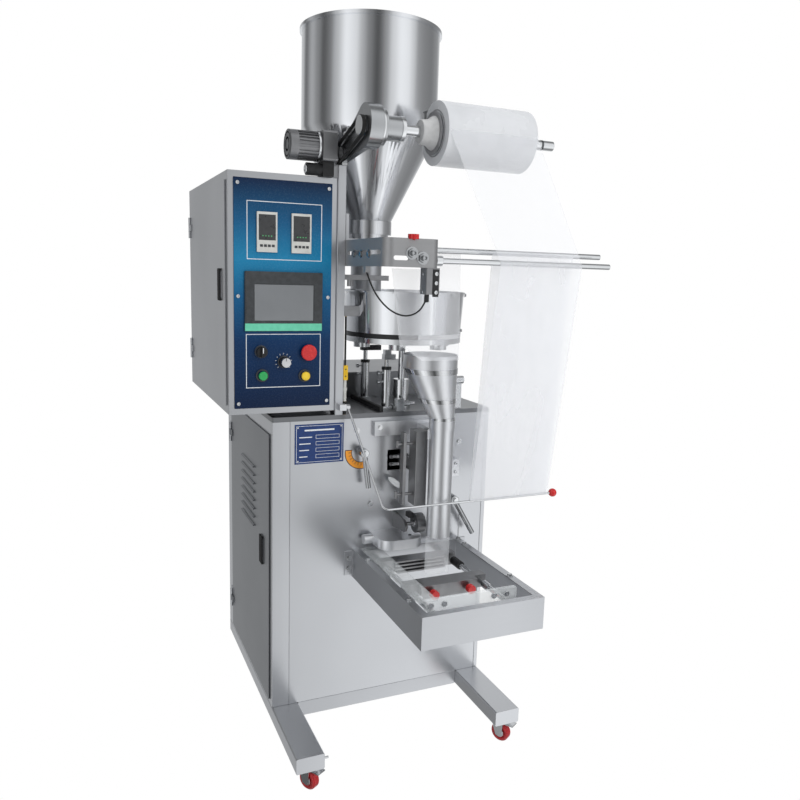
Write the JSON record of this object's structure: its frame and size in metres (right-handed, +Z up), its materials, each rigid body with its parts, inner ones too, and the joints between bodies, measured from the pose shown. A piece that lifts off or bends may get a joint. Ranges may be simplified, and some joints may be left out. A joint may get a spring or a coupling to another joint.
{
  "type": "vertical granule packing machine",
  "caption": "Upright form, fill and seal machine on castors: hopper, dosing turntable, forming tube, sealing jaws, film roll and a side control box.",
  "frame": {"origin": "middle of the machine's footprint, on the floor under the castors", "axes": "+Z up, -Y to the front where the control panel and the sealing box face, +X to the right"},
  "size_m": [0.9355, 1.033, 1.886],
  "materials": {
    "skids": "brushed stainless sheet",
    "cross_rails": "brushed stainless sheet",
    "cabinet_frame": "brushed stainless sheet",
    "front_panel": "brushed stainless sheet",
    "body_panels": "brushed stainless sheet",
    "top_deck": "brushed stainless sheet",
    "hinge_leaves": "brushed stainless sheet",
    "control_box": "brushed stainless sheet",
    "fascia": "printed blue panel",
    "instruments": "dark bezels",
    "column": "brushed stainless sheet",
    "film_arm": "satin",
    "feed_motor": "satin",
    "motor_clamp": "matt",
    "feed_belt": "matt",
    "film_bracket": "brushed stainless sheet",
    "guide_rods": "polished",
    "film_eye": "satin",
    "sensor_cord": "matt",
    "table_switch": "yellow housing",
    "hopper": "polished",
    "hopper_saddle": "brushed stainless sheet",
    "turntable_hood": "polished",
    "hood_fittings": "matt",
    "support_posts": "polished",
    "comb_bar": "matt",
    "forming_tube": "polished",
    "panel_fittings": "brushed stainless sheet",
    "back_sealer": "satin",
    "seal_box": "brushed stainless sheet",
    "jaw_plate": "clear acrylic",
    "rear_jaw": "satin",
    "film_web": "clear film",
    "film_loop": "clear film",
    "cabinet_door": "brushed stainless sheet",
    "control_box_door": "brushed stainless sheet",
    "roll_shaft": "polished",
    "film_roll": "wound clear film",
    "motor_pulley": "satin",
    "turntable": "polished",
    "front_jaw": "satin",
    "red_knobs": "red",
    "pull_roller": "knurled",
    "left_lever": "polished",
    "right_lever": "polished",
    "dancer_bar": "polished",
    "selector_knob": "matt",
    "speed_knob": "matt",
    "start_button": "green",
    "jog_button": "yellow",
    "emergency_stop": "red",
    "castor_fork_front_left": "polished",
    "castor_wheel_front_left": "red polyurethane",
    "castor_fork_front_right": "polished",
    "castor_wheel_front_right": "red polyurethane",
    "castor_fork_rear_left": "polished",
    "castor_wheel_rear_left": "red polyurethane",
    "castor_fork_rear_right": "polished",
    "castor_wheel_rear_right": "red polyurethane"
  },
  "bodies": {
    "machine": {"skids": "skids", "cross_rails": "cross_rails", "cabinet_frame": "cabinet_frame", "front_panel": "front_panel", "body_panels": "body_panels", "top_deck": "top_deck", "hinge_leaves": "hinge_leaves", "control_box": "control_box", "fascia": "fascia", "instruments": "instruments", "column": "column", "film_arm": "film_arm", "feed_motor": "feed_motor", "motor_clamp": "motor_clamp", "feed_belt": "feed_belt", "film_bracket": "film_bracket", "guide_rods": "guide_rods", "film_eye": "film_eye", "sensor_cord": "sensor_cord", "table_switch": "table_switch", "hopper": "hopper", "hopper_saddle": "hopper_saddle", "turntable_hood": "turntable_hood", "hood_fittings": "hood_fittings", "support_posts": "support_posts", "comb_bar": "comb_bar", "forming_tube": "forming_tube", "panel_fittings": "panel_fittings", "back_sealer": "back_sealer", "seal_box": "seal_box", "jaw_plate": "jaw_plate", "rear_jaw": "rear_jaw", "film_web": "film_web", "film_loop": "film_loop"},
    "cabinet_door": {"cabinet_door": "cabinet_door"},
    "control_box_door": {"control_box_door": "control_box_door"},
    "roll": {"roll_shaft": "roll_shaft", "film_roll": "film_roll"},
    "motor_pulley": {"motor_pulley": "motor_pulley"},
    "turntable": {"turntable": "turntable"},
    "front_jaw": {"front_jaw": "front_jaw", "red_knobs": "red_knobs"},
    "pull_roller": {"pull_roller": "pull_roller"},
    "left_lever": {"left_lever": "left_lever"},
    "right_lever": {"right_lever": "right_lever"},
    "dancer": {"dancer_bar": "dancer_bar"},
    "selector_knob": {"selector_knob": "selector_knob"},
    "speed_knob": {"speed_knob": "speed_knob"},
    "start_button": {"start_button": "start_button"},
    "jog_button": {"jog_button": "jog_button"},
    "emergency_stop": {"emergency_stop": "emergency_stop"},
    "castor_front_left": {"castor_fork_front_left": "castor_fork_front_left"},
    "wheel_front_left": {"castor_wheel_front_left": "castor_wheel_front_left"},
    "castor_front_right": {"castor_fork_front_right": "castor_fork_front_right"},
    "wheel_front_right": {"castor_wheel_front_right": "castor_wheel_front_right"},
    "castor_rear_left": {"castor_fork_rear_left": "castor_fork_rear_left"},
    "wheel_rear_left": {"castor_wheel_rear_left": "castor_wheel_rear_left"},
    "castor_rear_right": {"castor_fork_rear_right": "castor_fork_rear_right"},
    "wheel_rear_right": {"castor_wheel_rear_right": "castor_wheel_rear_right"}
  },
  "joints": [
    {"name": "cabinet_door_hinge", "type": "hinge", "parent": "machine", "child": "cabinet_door", "pos_m": [-0.35525, 0.4345, 0.5], "axis": [0, 0, 1], "range_deg": [-110, 0]},
    {"name": "control_box_door_hinge", "type": "hinge", "parent": "machine", "child": "control_box_door", "pos_m": [-0.46325, 0.4775, 1.2], "axis": [0, 0, 1], "range_deg": [-110, 0]},
    {"name": "roll_spin", "type": "hinge", "parent": "machine", "child": "roll", "pos_m": [0.04975, -0.2255, 1.6], "axis": [1, 0, 0], "continuous": true},
    {"name": "motor_pulley_spin", "type": "hinge", "parent": "machine", "child": "motor_pulley", "pos_m": [-0.19025, -0.0695, 1.555], "axis": [1, 0, 0], "continuous": true},
    {"name": "turntable_spin", "type": "hinge", "parent": "machine", "child": "turntable", "pos_m": [0.02675, -0.0135, 1.106], "axis": [0, 0, 1], "continuous": true},
    {"name": "front_jaw_slide", "type": "slide", "parent": "machine", "child": "front_jaw", "axis": [0, 1, 0], "range_m": [0, 0.07]},
    {"name": "pull_roller_spin", "type": "hinge", "parent": "machine", "child": "pull_roller", "pos_m": [0.03375, -0.1395, 0.611], "axis": [1, 0, 0], "continuous": true},
    {"name": "left_lever_swing", "type": "hinge", "parent": "machine", "child": "left_lever", "pos_m": [-0.11325, -0.0995, 0.806], "axis": [0, 1, 0], "range_deg": [0, 80]},
    {"name": "right_lever_swing", "type": "hinge", "parent": "machine", "child": "right_lever", "pos_m": [0.15775, -0.0995, 0.654], "axis": [0, 1, 0], "range_deg": [-60, 0]},
    {"name": "dancer_swing", "type": "hinge", "parent": "machine", "child": "dancer", "pos_m": [-0.15525, -0.0905, 0.927], "axis": [1, 0, 0], "range_deg": [-35, 0], "deforming": ["film_loop"]},
    {"name": "selector_turn", "type": "hinge", "parent": "machine", "child": "selector_knob", "pos_m": [-0.37975, -0.0755, 1.073], "axis": [0, 1, 0], "range_deg": [-45, 45]},
    {"name": "speed_turn", "type": "hinge", "parent": "machine", "child": "speed_knob", "pos_m": [-0.32275, -0.0755, 1.047], "axis": [0, 1, 0], "range_deg": [-135, 135]},
    {"name": "start_press", "type": "slide", "parent": "machine", "child": "start_button", "axis": [0, 1, 0], "range_m": [0, 0.004], "stiffness_N_per_m": 400, "springref_m": -0.002},
    {"name": "jog_press", "type": "slide", "parent": "machine", "child": "jog_button", "axis": [0, 1, 0], "range_m": [0, 0.004], "stiffness_N_per_m": 400, "springref_m": -0.002},
    {"name": "emergency_stop_press", "type": "slide", "parent": "machine", "child": "emergency_stop", "axis": [0, 1, 0], "range_m": [0, 0.004], "stiffness_N_per_m": 800, "springref_m": -0.002},
    {"name": "castor_front_left_swivel", "type": "hinge", "parent": "machine", "child": "castor_front_left", "pos_m": [-0.31425, -0.2525, 0.073], "axis": [0, 0, 1], "continuous": true},
    {"name": "wheel_front_left_roll", "type": "hinge", "parent": "castor_front_left", "child": "wheel_front_left", "pos_m": [-0.30395, -0.26964, 0.026], "axis": [0.8572, 0.515, 0], "continuous": true},
    {"name": "castor_front_right_swivel", "type": "hinge", "parent": "machine", "child": "castor_front_right", "pos_m": [0.23875, -0.2525, 0.073], "axis": [0, 0, 1], "continuous": true},
    {"name": "wheel_front_right_roll", "type": "hinge", "parent": "castor_front_right", "child": "wheel_front_right", "pos_m": [0.24905, -0.26964, 0.026], "axis": [0.8572, 0.515, 0], "continuous": true},
    {"name": "castor_rear_left_swivel", "type": "hinge", "parent": "machine", "child": "castor_rear_left", "pos_m": [-0.31425, 0.4345, 0.073], "axis": [0, 0, 1], "continuous": true},
    {"name": "wheel_rear_left_roll", "type": "hinge", "parent": "castor_rear_left", "child": "wheel_rear_left", "pos_m": [-0.30395, 0.41736, 0.026], "axis": [0.8572, 0.515, 0], "continuous": true},
    {"name": "castor_rear_right_swivel", "type": "hinge", "parent": "machine", "child": "castor_rear_right", "pos_m": [0.23875, 0.4345, 0.073], "axis": [0, 0, 1], "continuous": true},
    {"name": "wheel_rear_right_roll", "type": "hinge", "parent": "castor_rear_right", "child": "wheel_rear_right", "pos_m": [0.24905, 0.41736, 0.026], "axis": [0.8572, 0.515, 0], "continuous": true}
  ],
  "couplings": [
    {"joint": "motor_pulley_spin", "follows": "roll_spin", "ratio": 1}
  ]
}
